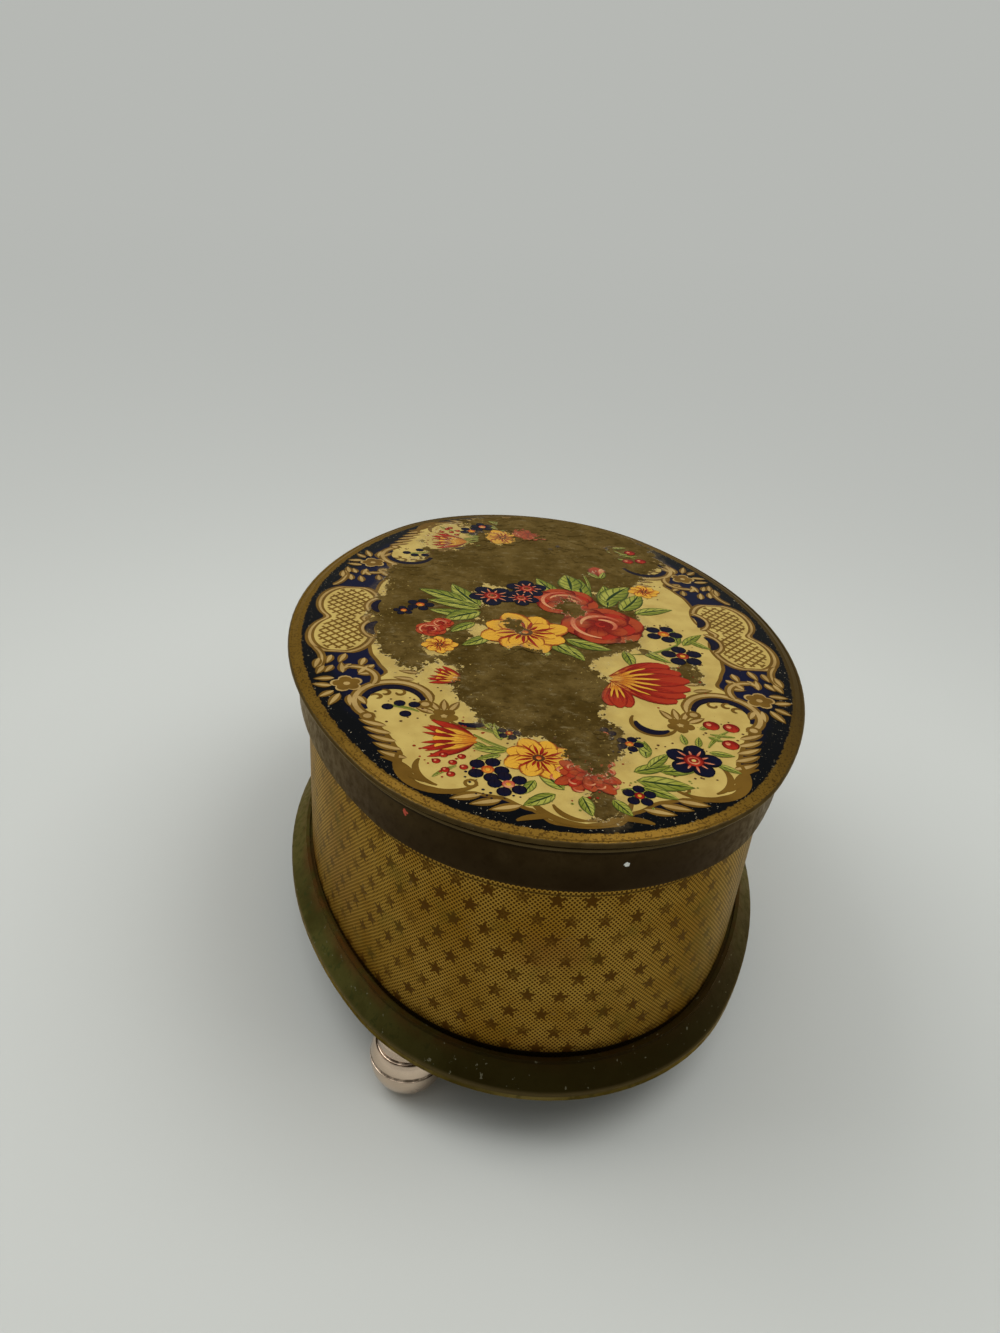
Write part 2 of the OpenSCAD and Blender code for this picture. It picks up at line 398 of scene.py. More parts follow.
# Painted highlight, partly rubbed wear too: lighter along the band's lower edge.
rubbed_edge_highlight = fade(tree, height, band_bottom + rub_reach, band_bottom, 0.0, 0.4)
band_colour = tint(tree, rubbed_edge_highlight, band_colour, (0.1, 0.07, 0.03))
# Painted shade: darker still over the lower half of the band at the front.
lower_front_shade = fade(tree, height, band_bottom + 4.5, band_bottom + 1.5)
lower_front_shade = times(tree, lower_front_shade, fade(tree, along, 15.0, half_length - 8.0, 0.0, 0.6))
band_colour = tint(tree, lower_front_shade, band_colour, (0.008, 0.0027, 0.0003))
lid_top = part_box("lid_panel")[1][2] / MM
bead_height = lid_top - 2.0
bead_half = 0.5
# Painted shade lines beside the bead, and a painted highlight along its crest.
from_bead = apart(tree, height, bead_height)
bead_shade = fade(tree, apart(tree, from_bead, bead_half), 0.28, 0.1, 0.0, 0.8)
band_colour = tint(tree, bead_shade, band_colour, (0.008, 0.004, 0.001))
bead_highlight = fade(tree, from_bead, 0.24, 0.1, 0.0, 0.65)
band_colour = tint(tree, bead_highlight, band_colour, (0.12, 0.085, 0.035))


def distance(tree, place, spot=(0, 0, 0)):
    return shade(tree, "VectorMath", {0: place, 1: spot}, operation="DISTANCE").outputs["Value"]


def paint_fleck(tree, place, spot, radius, under, rgb):
    """A stray drop of paint, ragged at its edge, over the colour under it."""
    ragged = calc(tree, "MULTIPLY_ADD", grain(tree, place, 2.6), 2.4 * radius, distance(tree, place, spot))
    return tint(tree, fade(tree, ragged, radius * 2.2, radius * 2.1), under, rgb)


white_paint = (0.75, 0.76, 0.72)
flecked = paint_fleck(tree, place, (49.4, 4.5, 42.9), 0.36, band_colour, white_paint)
flecked = paint_fleck(tree, place, (42.9, -18.3, 43.8), 0.35, flecked, (0.5, 0.08, 0.05))
feed(tree, shader, {"Base Color": flecked})
dress("lid_band", band_brass)

# Lid panel
# Tinplate pressed to a shallow cap with a rolled edge: a spotted gold ring round the shoulder, then a
# border that goes from near black to navy. The print is worn through to dull brassy metal in large patches.
ground_worn = (
    (20, -3, 12.5, 10), (32, 1.5, 7, 5), (45, 2, 2, 1.6), (0, -17.5, 17, 7.5),
    (-15, -16, 9, 8), (-30, 3, 19.5, 21), (-1, 3, 13, 12.5), (15, 19, 3, 1.6),
    (11.5, -2, 4.6, 9.5), (11.8, -11.5, 4.4, 6),
)
ground_kept = (
    (-37, -15, 9, 6), (-27, -21.5, 6, 3.4), (4.5, -16, 2.6, 2.0), (9.7, -15, 2.4, 2.2),
    (-2, 11, 3, 2), (-35, -4, 2.4, 2.4),
)
flower_worn = (
    (21, -3.5, 11, 8.5), (34.5, 2.2, 5.2, 3.0), (9, -22, 4, 3), (-29, 1, 10.5, 16),
    (-42, 10, 9, 14), (-4.4, 5.2, 3.2, 1.7), (7.6, 12.6, 1.6, 2.4), (2.4, -4.4, 1.6, 1.2),
)
flower_kept = (
    (-37, -15, 10, 7), (-36, -4.5, 3.2, 3), (-38.5, 0.5, 2.6, 2.2), (-34, 4, 2.4, 2.4),
    (-20.5, 12, 4, 2.6), (-32, 17, 1.2, 1),
)


def vector(tree, operation, first, second):
    return shade(tree, "VectorMath", {0: first, 1: second}, operation=operation).outputs[0]


def patch_edge(tree, place, patches):
    """About how far it is to the nearest of some ellipses, in millimetres, and negative inside one."""
    nearest = None
    for x, y, reach_x, reach_y in patches:
        offset = vector(tree, "SUBTRACT", place, (x, y, 0))
        scaled = vector(tree, "MULTIPLY", offset, (1 / reach_x, 1 / reach_y, 0))
        least = min(reach_x, reach_y)
        edge = calc(tree, "MULTIPLY_ADD", distance(tree, scaled), least, -least)
        nearest = edge if nearest is None else calc(tree, "MINIMUM", nearest, edge)
    return nearest


def wear_group(name, worn_patches, kept_patches):
    """Masks of where ink is left, where it has worn thin and where its broken edge is chipped pale."""
    tree, entry, leave = group(name, ("Ink", "Thin", "Rim"))
    where = entry.outputs["Place"]
    ragged = None
    for scale, detail, reach in ((0.17, 4.0, 7.0), (0.7, 6.0, 4.4), (3.0, 3.0, 0.9)):
        ripple = minus(tree, grain(tree, where, scale, detail, 0.72), 0.5)
        ragged = calc(tree, "MULTIPLY_ADD", ripple, reach, 0.0 if ragged is None else ragged)
    worn_edge = calc(tree, "ADD", patch_edge(tree, where, worn_patches), ragged)
    kept_edge = minus(tree, patch_edge(tree, where, kept_patches), ragged)
    ink_left = calc(tree, "MAXIMUM", fade(tree, worn_edge, 0.0, 0.07), fade(tree, kept_edge, 0.07, 0.0))
    flecks = fade(tree, grain(tree, where, 1.7, 4.0, 0.68), 0.635, 0.655)
    flecks = times(tree, flecks, fade(tree, worn_edge, -5.5, -1.2))
    ink_left = calc(tree, "MAXIMUM", ink_left, flecks)
    spatter = grain(tree, where, 2.4, 3.0, 0.7)
    pinholes = fade(tree, spatter, 0.285, 0.31)
    chipped = fade(tree, calc(tree, "ABSOLUTE", worn_edge), 0.32, 0.12)
    feed(tree, leave, {
        "Ink": times(tree, ink_left, pinholes),
        "Thin": fade(tree, worn_edge, 2.2, 0.0),
        "Rim": times(tree, chipped, fade(tree, spatter, 0.5, 0.6)),
    })
    return tree


ground_wear = wear_group("ground_wear", ground_worn, ground_kept)
flower_wear = wear_group("flower_wear", flower_worn, flower_kept)

tree, entry, leave = group("bare_tin", ("Color", "Roughness"))
bare_metal = tree
where = entry.outputs["Place"]
clouds = grain(tree, where, 0.2, 7.0, 0.7)
spots = grain(tree, where, 1.5, 5.0, 0.72)
drawn_out = vector(tree, "MULTIPLY", where, (1.2, 0.62, 1.0))
streaks = grain(tree, drawn_out, 0.62, 7.0, 0.72)
metal = tint(tree, fade(tree, clouds, 0.36, 0.66), (0.07, 0.041, 0.0095), (0.145, 0.094, 0.028))
for stain, start, full, share, rgb in (
    (streaks, 0.53, 0.66, 0.75, (0.036, 0.022, 0.006)),
    (streaks, 0.45, 0.3, 0.7, (0.24, 0.185, 0.09)),
    (spots, 0.57, 0.72, 0.7, (0.036, 0.024, 0.008)),
    (spots, 0.385, 0.28, 0.75, (0.3, 0.25, 0.14)),
):
    metal = tint(tree, fade(tree, stain, start, full, 0.0, share), metal, rgb)
feed(tree, leave, {"Color": metal, "Roughness": fade(tree, clouds, 0.35, 0.65, 0.34, 0.5)})


def worn_print(name, ink_colour, gloss, wear_tree):
    """A printing ink that wears through to bare metal. ink_colour gives its colour, how metallic it is and,
    where the sheet's other side shows, a mask and a colour for that side."""
    material, tree, shader = new_finish(name)
    place = millimetres(tree)
    wear = use_group(tree, wear_tree, place)
    metal = use_group(tree, bare_metal, place)
    colour, metallic, underside = ink_colour(tree, place)
    faded = tint(tree, times(tree, wear.outputs["Thin"], 0.22), colour, (0.2, 0.14, 0.06))
    faded = tint(tree, times(tree, wear.outputs["Rim"], 0.7), faded, (0.5, 0.42, 0.24))
    ink = wear.outputs["Ink"]
    surface = tint(tree, ink, metal.outputs["Color"], faded)
    if underside:
        surface = tint(tree, underside[0], surface, underside[1])
    feed(tree, shader, {
        "Base Color": surface,
        "Roughness": pick(tree, ink, gloss, metal.outputs["Roughness"]),
        "Metallic": pick(tree, ink, metallic, 0.75),
        "Specular IOR Level": 0.02,
        "Specular Tint": (1.0, 0.8, 0.5),
    })
    return material


print_shift = 0.55
ring_reach = (1.98, 1.84)
roll_reach = (0.5, 0.38)
print_depth = 0.22
bare_depth = 0.27


def border_colour(tree, place):
    _, inset, height = use_group(tree, oval_place, place).outputs
    near_black = (0.0016, 0.0021, 0.0028)
    navy = (0.0032, 0.0042, 0.019)
    drifting = calc(tree, "ADD", inset, times(tree, grain(tree, place, 0.3), 3.0))
    border = tint(tree, fade(tree, drifting, 5.0, 8.0), near_black, navy)
    specks = fade(tree, grain(tree, place, 3.2, 2.0, 0.6), 0.685, 0.71)
    specks = times(tree, specks, fade(tree, inset, 4.2, 2.4))
    border = tint(tree, specks, border, (0.34, 0.29, 0.19))
    ring_gold = tint(tree, grain(tree, place, 0.5), (0.115, 0.06, 0.0075), (0.17, 0.095, 0.015))
    ring_dots = fade(tree, grain(tree, place, 3.4, 2.0), 0.54, 0.61, 0.0, 0.8)
    ring_gold = tint(tree, ring_dots, ring_gold, (0.05, 0.024, 0.004))
    along, across, _ = axes(tree, place)
    right_side = fade(tree, across, 18.0, 36.0, 0.0, 0.9)
    back_end = fade(tree, along, -25.0, -47.0, 0.0, 0.7)
    ring_gold = tint(tree, calc(tree, "MAXIMUM", right_side, back_end), ring_gold, (0.028, 0.018, 0.008))
    shifted = vector(tree, "SUBTRACT", place, (print_shift, 0, 0))
    ring_inset = use_group(tree, oval_place, shifted).outputs["Inset"]
    fray = minus(tree, grain(tree, place, 1.9), 0.5)
    on_ring = fade(tree, calc(tree, "MULTIPLY_ADD", fray, 0.8, ring_inset), *ring_reach)
    coloured = tint(tree, on_ring, border, ring_gold)
    rolled_metal = tint(tree, grain(tree, place, 0.8), (0.03, 0.018, 0.005), (0.085, 0.056, 0.02))
    on_roll = fade(tree, calc(tree, "MULTIPLY_ADD", grain(tree, place, 1.5), 0.4, inset), *roll_reach)
    coloured = tint(tree, on_roll, coloured, rolled_metal)
    under = fade(tree, height, lid_top - print_depth, lid_top - bare_depth)
    under = times(tree, under, fade(tree, inset, 1.05, 1.15))
    dull_tin = tint(tree, grain(tree, place, 0.2, 5.0), (0.2, 0.145, 0.06), (0.36, 0.27, 0.125))
    coloured = paint_fleck(tree, place, (-47.5, 1.9, lid_top), 0.6, coloured, white_paint)
    return coloured, times(tree, on_ring, 0.5), (under, dull_tin)


dress("lid_panel", worn_print("lid_border_print", border_colour, 0.3, ground_wear))


# Printed inks on the lid
# Flat ink in thin layers, so each motif is a flat shape a few microns above the one below it.
# A petal or leaf is stippled from root to tip and darker along its edges, as on old litho prints.
layer_step = 0.003
order_step = 0.026
order_cycle = 37
print_order = itertools.count()
leaf_form = (0.02, 0.0, 1.0, 0.8, 0.85)
petal_form = (0.05, 0.08, 0.9, 1.5, 0.6)
stroke_form = (0.04, 0.04, 0.92, 1.0, 0.7)
inks = {}


def ink_mesh(ink):
    if ink not in inks:
        inks[ink] = bmesh.new()
        inks[ink].verts.layers.float.new("along")
        inks[ink].verts.layers.float.new("across")
    return inks[ink]


def layer_height(level):
    """The height of a layer. Shapes of one level get slightly different ones, so none share a plane."""
    return lid_top + (level + order_step * (next(print_order) % order_cycle)) * layer_step


def print_strip(ink, path, half_width, level, rows):
    """Lays a flat strip of ink along path(t), half_width(t) to each side, for t from 0 to 1."""
    sheet = ink_mesh(ink)
    along = sheet.verts.layers.float["along"]
    across = sheet.verts.layers.float["across"]
    height = layer_height(level)
    grid = bmesh.ops.create_grid(sheet, x_segments=2, y_segments=rows, size=1)
    for vert in grid["verts"]:
        side = vert.co.x
        t = min(1.0, max(0.0, (vert.co.y + 1) / 2))
        ahead = (Vector(path(t + 0.01)) - Vector(path(t - 0.01))).normalized()
        spot = Vector(path(t)) + Vector((ahead.y, -ahead.x)) * side * half_width(t)
        vert.co = Vector((spot.x, spot.y, height)) * MM
        vert[along] = t
        vert[across] = side


def arc_path(root, heading, reach, bend):
    """A path of length reach from root that turns by bend degrees. Heading 0 is +X and 90 is +Y."""
    start = radians(heading)
    turn = radians(bend) or 1e-4
    swing = reach / turn

    def path(t):
        now = start + turn * t
        return (root[0] + swing * (sin(now) - sin(start)),
                root[1] - swing * (cos(now) - cos(start)))

    return path


def beside(spot, heading, reach):
    turn = radians(heading)
    return (spot[0] + reach * cos(turn), spot[1] + reach * sin(turn))


def ring_path(centre, radius, start, sweep, close=1.0):
    """A path round centre whose radius closes to a share of itself on the way."""
    return lambda t: beside(centre, start + sweep * t, radius * (1 - (1 - close) * t))


def bulge(width, least, first, span, ease, power):
    """A half width that swells from the root and closes in at the tip."""
    return lambda t: least + width / 2 * max(0.0, sin(pi * (first + span * t ** ease))) ** power


def round_width(radius):
    return lambda t: radius * sqrt(max(0.0004, 1 - (2 * t - 1) ** 2))


def even(width):
    return lambda t: width / 2 * min(1.0, 0.35 + 9 * t, 0.35 + 9 * (1 - t))


def leaf(ink, root, heading, reach, width, level, bend=0):
    print_strip(ink, arc_path(root, heading, reach, bend), bulge(width, *leaf_form), level, 8)


def petal(ink, root, heading, reach, width, level, bend=0):
    print_strip(ink, arc_path(root, heading, reach, bend), bulge(width, *petal_form), level, 9)


def dot(ink, centre, radius, level, rows=10):
    root = (centre[0] - radius, centre[1])
    print_strip(ink, arc_path(root, 0, 2 * radius, 0), round_width(radius), level, rows)


def stroke(ink, path, width, level):
    print_strip(ink, path, bulge(width, *stroke_form), level, 18)


def tube(path, width, level, outlines=0.78):
    """A scroll drawn as a pale tube between two gold lines."""
    print_strip("gold", path, even(width), level, 26)
    print_strip("tan", path, even(width - outlines), level + 1, 26)


def gold_leaf(root, heading, reach, width, level, bend=0):
    leaf("gold", root, heading, reach, width, level, bend)
    leaf("tan", root, heading, reach * 0.9, width * 0.42, level + 1, bend)


def flat_colour(rgb, deep):
    def colour(tree, place):
        clouds = fade(tree, grain(tree, place, 0.3, 5.0), 0.35, 0.68)
        return tint(tree, clouds, rgb, deep), 0.0, None

    return colour


def strip_place(tree, name):
    return shade(tree, "Attribute", {}, attribute_name=name).outputs["Fac"]


def petal_colour(root_rgb, tip_rgb, edge_rgb, ribs, spread=(0.15, 0.85)):
    def colour(tree, place):
        along = strip_place(tree, "along")
        across = calc(tree, "ABSOLUTE", strip_place(tree, "across"))
        stipple = times(tree, minus(tree, grain(tree, place, 2.2, 3.0), 0.5), 0.7)
        blend = fade(tree, calc(tree, "ADD", along, stipple), *spread)
        body = tint(tree, blend, root_rgb, tip_rgb)
        rib = fade(tree, crests(tree, across, ribs), 0.42, 0.1)
        rib = times(tree, rib, fade(tree, along, 1.0, 0.3, 0.0, 0.8))
        edge = fade(tree, calc(tree, "ADD", across, times(tree, stipple, 0.5)), 0.66, 0.95)
        return tint(tree, calc(tree, "MAXIMUM", edge, rib), body, edge_rgb), 0.0, None

    return colour


def leaf_colour(tree, place):
    along = strip_place(tree, "along")
    across = strip_place(tree, "across")
    from_rib = calc(tree, "ABSOLUTE", across)
    clouds = fade(tree, grain(tree, place, 0.6), 0.35, 0.65)
    light = tint(tree, clouds, (0.225, 0.228, 0.03), (0.3, 0.29, 0.055))
    halves = tint(tree, fade(tree, across, 0.1, 0.35, 0.0, 0.75), light, (0.11, 0.132, 0.012))
    slant = times(tree, from_rib, -9.0)
    veins = calc(tree, "SINE", calc(tree, "MULTIPLY_ADD", along, 30.0, slant))
    dark = calc(tree, "MAXIMUM", fade(tree, veins, 0.6, 0.95, 0.0, 0.7), fade(tree, from_rib, 0.2, 0.08))
    dark = calc(tree, "MAXIMUM", dark, fade(tree, from_rib, 0.7, 0.95, 0.0, 0.8))
    return tint(tree, dark, halves, (0.01, 0.026, 0.006)), 0.0, None


ground_inks = ("cream", "tan", "gold")
ink_colours = {
    "cream": flat_colour((0.44, 0.322, 0.092), (0.375, 0.262, 0.07)),
    "tan": flat_colour((0.36, 0.24, 0.082), (0.27, 0.17, 0.052)),
    "gold": flat_colour((0.135, 0.07, 0.0095), (0.1, 0.05, 0.0065)),
    "brown": flat_colour((0.08, 0.028, 0.009), (0.05, 0.02, 0.008)),
    "navy": petal_colour((0.006, 0.004, 0.011), (0.0032, 0.0036, 0.014), (0.0016, 0.0016, 0.0045), 4.0),
    "crimson": petal_colour((0.165, 0.006, 0.004), (0.29, 0.018, 0.007), (0.09, 0.004, 0.003), 5.0),
    "coral": petal_colour((0.165, 0.009, 0.004), (0.285, 0.04, 0.011), (0.115, 0.005, 0.003), 5.0),
    "pink": petal_colour((0.38, 0.085, 0.038), (0.5, 0.23, 0.1), (0.3, 0.03, 0.018), 5.0),
    "flame": petal_colour((0.46, 0.22, 0.035), (0.28, 0.024, 0.008), (0.16, 0.007, 0.004), 6.0, (0.05, 0.42)),
    "yellow": petal_colour((0.43, 0.145, 0.012), (0.53, 0.275, 0.026), (0.2, 0.036, 0.007), 7.0, (0.1, 0.5)),
    "orange": petal_colour((0.36, 0.055, 0.009), (0.5, 0.18, 0.02), (0.25, 0.034, 0.006), 4.0),
    "green": leaf_colour,
}


# Cream field
# The pale ground of the bouquet. Its edge bulges between the scrolls, drawn with a gold line,
# and it draws in along the sides to leave room for the lattice panels and the navy corners.
def rim_point(run, inset):
    """The point so far round the rim from the front end, going towards +Y, moved inward by inset."""
    run = run % (4 * quarter_run)
    quarter = int(run // quarter_run) % 4
    part = run - quarter * quarter_run
    if quarter % 2:
        part = quarter_run - part
    if part < end_run:
        centre, reach, turn = (end_x, 0), end_r - inset, part / end_r
    else:
        centre, reach, turn = (0, -side_y), side_r - inset, join_angle + (part - end_run) / side_r
    x = centre[0] + reach * cos(turn)
    y = centre[1] + reach * sin(turn)
    return (-x if quarter in (1, 2) else x, -y if quarter in (2, 3) else y)


print_middle = 1.6
back_stretch = 1.07
middle_run = quarter_run - print_middle
field_insets = (
    (0, 2.8), (3.5, 3.1), (6.5, 4.8), (10.3, 5.7), (13.5, 5.3), (17, 3.7), (20.5, 3.0), (23.5, 3.7),
    (27, 5.6), (31, 6.2), (36, 6.2), (41, 5.8), (44.2, 9.6), (46.9, 12), (50.2, 11.6), (53.5, 11.2),
    (58.4, 11.4), (62, 10.4), (67.8, 11.6),
)


def field_edge(run, grow):
    away = abs((run + 2 * quarter_run) % (4 * quarter_run) - 2 * quarter_run)
    if away > middle_run:
        away = middle_run * (1 - (away - middle_run) / (2 * quarter_run - middle_run))
    for (low, low_inset), (high, high_inset) in zip(field_insets, field_insets[1:]):
        if low <= away <= high:
            share = (away - low) / (high - low)
            inset = low_inset + (high_inset - low_inset) * (share * share * (3 - 2 * share))
    return rim_point(run, inset - grow)


def print_field(ink, grow, level):
    sheet = ink_mesh(ink)
    height = layer_height(level)
    ring = bmesh.ops.create_circle(sheet, cap_ends=True, segments=400, radius=1)
    for vert in ring["verts"]:
        run = atan2(vert.co.y, vert.co.x) / tau * 4 * quarter_run
        vert.co = Vector((*field_edge(run, grow), height)) * MM


print_field("gold", 0.75, 1)
print_field("cream", 0.2, 2)

# Lattice panels
# A cream panel in two lobes on each long side, cross-hatched in gold inside a double gold line.
# It is printed over the navy beside the field, with two small scrolls between it and the field.
lattice_ends = (-8.5, 12.6)
lattice_y = 28.8
lattice_half = 3.75
lattice_waist = 2.0
lattice_pitch = 1.62
hatch_step = 0.1
hatch_run = 0.72
hatch_rise = 0.7
hatch_half = 0.19
lobes = ((0.26, 0.27), (0.75, 0.26))


def lattice_width(t, grow):
    widest = lattice_waist if 0.2 < t < 0.8 else 0.0
    for middle, reach in lobes:
        share = (t - middle) / reach
        widest = max(widest, lattice_half * sqrt(max(0, 1 - share * share)))
    return max(0.05, widest + grow)


def lattice_inside(x, y):
    t = (x - lattice_ends[0]) / (lattice_ends[1] - lattice_ends[0])
    return 0.02 < t < 0.98 and abs(y - lattice_y) < lattice_width(t, -0.55)


for side in (-1, 1):
    for ink, grow, level in (("gold", 1.2, 5), ("tan", 0.78, 6), ("gold", 0.4, 7), ("cream", 0, 8)):
        start, end = lattice_ends[0] - grow * 0.6, lattice_ends[1] + grow * 0.6
        path = arc_path((start, side * lattice_y), 0, end - start, 0)
        print_strip(ink, path, lambda t, grow=grow: lattice_width(t, grow), level, 44)
    for lean in (-1, 1):
        for line in range(-14, 15):
            middle = sum(lattice_ends) / 2 + line * lattice_pitch
            steps = [hatch_step * k for k in range(-90, 91)]
            trail = [(middle + step * hatch_run, lattice_y + step * hatch_rise * lean) for step in steps]
            inside = [spot for spot in trail if lattice_inside(*spot)]
            if len(inside) > 6:
                (x0, y0), (x1, y1) = inside[0], inside[-1]
                heading = degrees(atan2(side * (y1 - y0), x1 - x0))
                bar = arc_path((x0, side * y0), heading, hypot(x1 - x0, y1 - y0), 0)
                print_strip("gold", bar, lambda t: hatch_half, 9 + 0.1 * lean, 2)
    for x in (-2.3, 5.3):
        tube(ring_path((x, side * 22.4), 3.7, side * 32, side * 116), 1.15, 10)
        stroke("navy", ring_path((x, side * 22.4), 2.75, side * 40, side * 100), 1.3, 10)


# Corner scrolls and navy corners
# At each corner a C-scroll round a navy crescent, with hooks that lead to the lattice panel, and beside
# it, on the navy, a gold flower among gold leaves.
def corner_frame(end, side):
    """Turns places and headings drawn for the front right corner into those for another corner."""
    stretch = 1.0 if end > 0 else back_stretch

    def spot(x, y):
        return (print_middle + end * stretch * (x - print_middle), side * y)

    def turned(heading):
        return side * (heading if end > 0 else 180 - heading)

    return spot, turned, end * side


corner_leaves = (
    (20.4, 28.3, 80, 2.6), (22.4, 28.4, 96, 2.5), (24.2, 27.2, 18, 3.2), (24.4, 26, -8, 2.9),
    (23.6, 28, 44, 2.4), (18.9, 25.4, 205, 2.6), (18.9, 27.4, 170, 2.9), (14.6, 25, 8, 2.4),
    (15.2, 30.9, 4, 2.9), (13.6, 27.6, 12, 2.8), (17.2, 30, 14, 2.5), (16.4, 23.6, 40, 2.3),
    (17, 28.9, 20, 2.2), (18.6, 23.4, 75, 2.2), (24.6, 25, -32, 2.4), (14.2, 29.4, 8, 2.5),
    (16.4, 26.6, 30, 2.1),
)
for end in (1, -1):
    for side in (-1, 1):
        spot, turned, flip = corner_frame(end, side)
        heart = spot(25.4, 20.7)
        stroke("navy", ring_path(heart, 3.75, turned(268), -215 * flip), 1.9, 11)
        tube(ring_path(heart, 4.7, turned(272), -250 * flip, 0.97), 1.4, 12)
        for curl in (spot(26, 16.7), spot(29.2, 23.4)):
            dot("gold", curl, 0.95, 14)
            dot("tan", curl, 0.5, 15)
        for start in (150, 200, 110):
            curl = beside(heart, turned(start), 2.1)
            stroke("gold", ring_path(curl, 0.8, turned(start), 250 * flip, 0.4), 0.42, 12)
        tube(arc_path(spot(21.6, 23.4), turned(206), 7, -130 * flip), 1.25, 13)
        tube(arc_path(spot(12, 32), turned(-42), 6.6, 62 * flip), 1.1, 10)
        bloom = spot(21.7, 26.6)
        for x, y, heading, reach in corner_leaves:
            gold_leaf(spot(x, y), turned(heading), reach, 1.25, 12)
        for k in range(5):
            heading = turned(k * 72 + 20)
            dot("tan", beside(bloom, heading, 1.2), 0.88, 14)
            dot("gold", beside(bloom, heading, 1), 0.78, 15)
        dot("tan", bloom, 0.42, 16)
        for k in range(5):
            gold_leaf(spot(37.6 - 1.6 * k, 18.4 + 0.66 * k), turned(100), 3.6, 1.25, 6, 22 * flip)
        for k in range(3):
            gold_leaf(spot(45.5 - 0.85 * k, 6.4 + 2.0 * k), turned(76), 3.5, 1.3, 6)
        hoop = spot(38.2, 14.3)
        stroke("gold", ring_path(hoop, 5.3, turned(-42), 150 * flip), 0.95, 10)
        stroke("gold", ring_path(hoop, 4.3, turned(10), 92 * flip, 0.66), 0.75, 10)
        dot("gold", spot(41.9, 11.5), 0.8, 10)
        dot("cream", spot(41.9, 11.5), 0.4, 11)
        for x, y, heading, reach, bend, width in (
            (41.9, 16.4, 118, 6.2, 58, 0.7), (40.4, 17.6, 150, 4.8, -45, 0.6),
            (48.35, -0.2, 88, 7.6, 78, 0.85), (47.7, -0.2, 88, 4.5, 80, 0.65),
            (47.3, 3.4, 100, 3.8, -40, 0.8),
        ):
            stroke("gold", arc_path(spot(x, y), turned(heading), reach, bend * flip), width, 10)
        sprig = spot(28.6, 14.4)
        for heading in (180, 152, 208, 118):
            gold_leaf(beside(sprig, turned(heading), 1.3), turned(heading), 2.7, 1.15, 10)
        for k in range(5):
            dot("gold", beside(sprig, turned(k * 72), 1.05), 0.72, 11)
        dot("tan", sprig, 0.35, 13)
        crook = spot(28.2, 11.2)
        stroke("gold", ring_path(crook, 2.8, turned(236), 190 * flip), 0.75, 10)
        stroke("navy", ring_path(crook, 2.25, turned(262), 140 * flip), 1.1, 10)
        for x, y in ((18.2, 17.6), (20, 18.2)):
            gold_leaf(spot(x, y), turned(100), 2.8, 1.05, 10)


# Bouquet and sprays
# A bunch of garden flowers in the middle and smaller sprays at the ends of the field: a rose, a large
# yellow bloom and tulips, small navy flowers, berries, and leaves with a light and a dark half.
strew = random.Random(11)
stipple_level = 12.5


def navy_flower(spot, radius, level, turn=0, heart="crimson"):
    for k in range(5):
        dot("navy", beside(spot, turn + k * 72, radius * 0.63), radius * 0.355, level)
    dot(heart, spot, radius * 0.3, level + 1)
    dot("yellow", spot, radius * 0.14, level + 2)


def dark_flower(spot, radius, level, turn=0):
    for k in range(5):
        petal("navy", spot, turn + k * 72, radius, radius * 0.76, level)
    for k in range(10):
        heading = turn + k * 36 - 18
        reach = radius * (0.42 - 0.12 * (k % 2))
        leaf("pink", beside(spot, heading, radius * 0.3), heading, reach, radius * 0.08, level + 1)
    dot("crimson", spot, radius * 0.36, level + 2)
    dot("pink", spot, radius * 0.24, level + 3)
    dot("crimson", spot, radius * 0.17, level + 4)
    dot("cream", spot, radius * 0.08, level + 5)


def yellow_flower(spot, radius, level, turn=0):
    for k in range(8):
        petal("yellow", spot, turn + k * 45, radius * (1 - 0.1 * (k % 2)), radius * 0.66, level, 16)
    for k in range(7):
        petal("yellow", spot, turn + 20 + k * 360 / 7, radius * 0.68, radius * 0.4, level + 1, -20)
    for k in range(15):
        heading = turn + k * 24
        reach = radius * (0.6 - 0.11 * (k * 7 % 4))
        leaf("crimson", beside(spot, heading, radius * 0.16), heading, reach, radius * 0.075, level + 2, 14)
    dot("brown", spot, radius * 0.17, level + 3)
    dot("orange", spot, radius * 0.08, level + 4)


def rose(spot, radius, level, turn=0):
    for k in range(6):
        petal("coral", spot, turn + k * 60, radius, radius * 1.1, level)
    for k in range(5):
        petal("crimson", spot, turn + 25 + k * 72, radius * 0.78, radius * 0.8, level + 1, 12)
    for k in range(5):
        petal("coral", beside(spot, turn + 60 + k * 72, radius * 0.12), turn + 75 + k * 72,
              radius * 0.55, radius * 0.56, level + 2, 40)
    for k in range(3):
        fold = ring_path(spot, radius * (0.3 + 0.2 * k), turn + 80 * k, 150)
        stroke("pink", fold, radius * 0.13, level + 3)
    stroke("crimson", ring_path(spot, radius * 0.24, turn, 380, 0.2), radius * 0.12, level + 4)


def tulip(root, heading, reach, level, spreads=(-44, 44, -26, 26, -9, 9)):
    top = level + len(spreads)
    for k, spread in enumerate(spreads):
        length = reach * (0.9 + 0.02 * k)
        petal("flame", root, heading + spread, length, reach * 0.36, level + k * 0.9, -spread * 0.55)
        leaf("yellow", beside(root, heading + spread, reach * 0.1), heading + spread, length * 0.52,
             reach * 0.07, top + k * 0.1, -spread * 0.3)
        for side in (-1, 1):
            seam = heading + spread + 7 * side
            leaf("crimson", beside(root, seam, reach * 0.26), seam, length * (0.5 + 0.03 * k),
                 reach * 0.05, top + 1 + k * 0.1, -spread * 0.4)


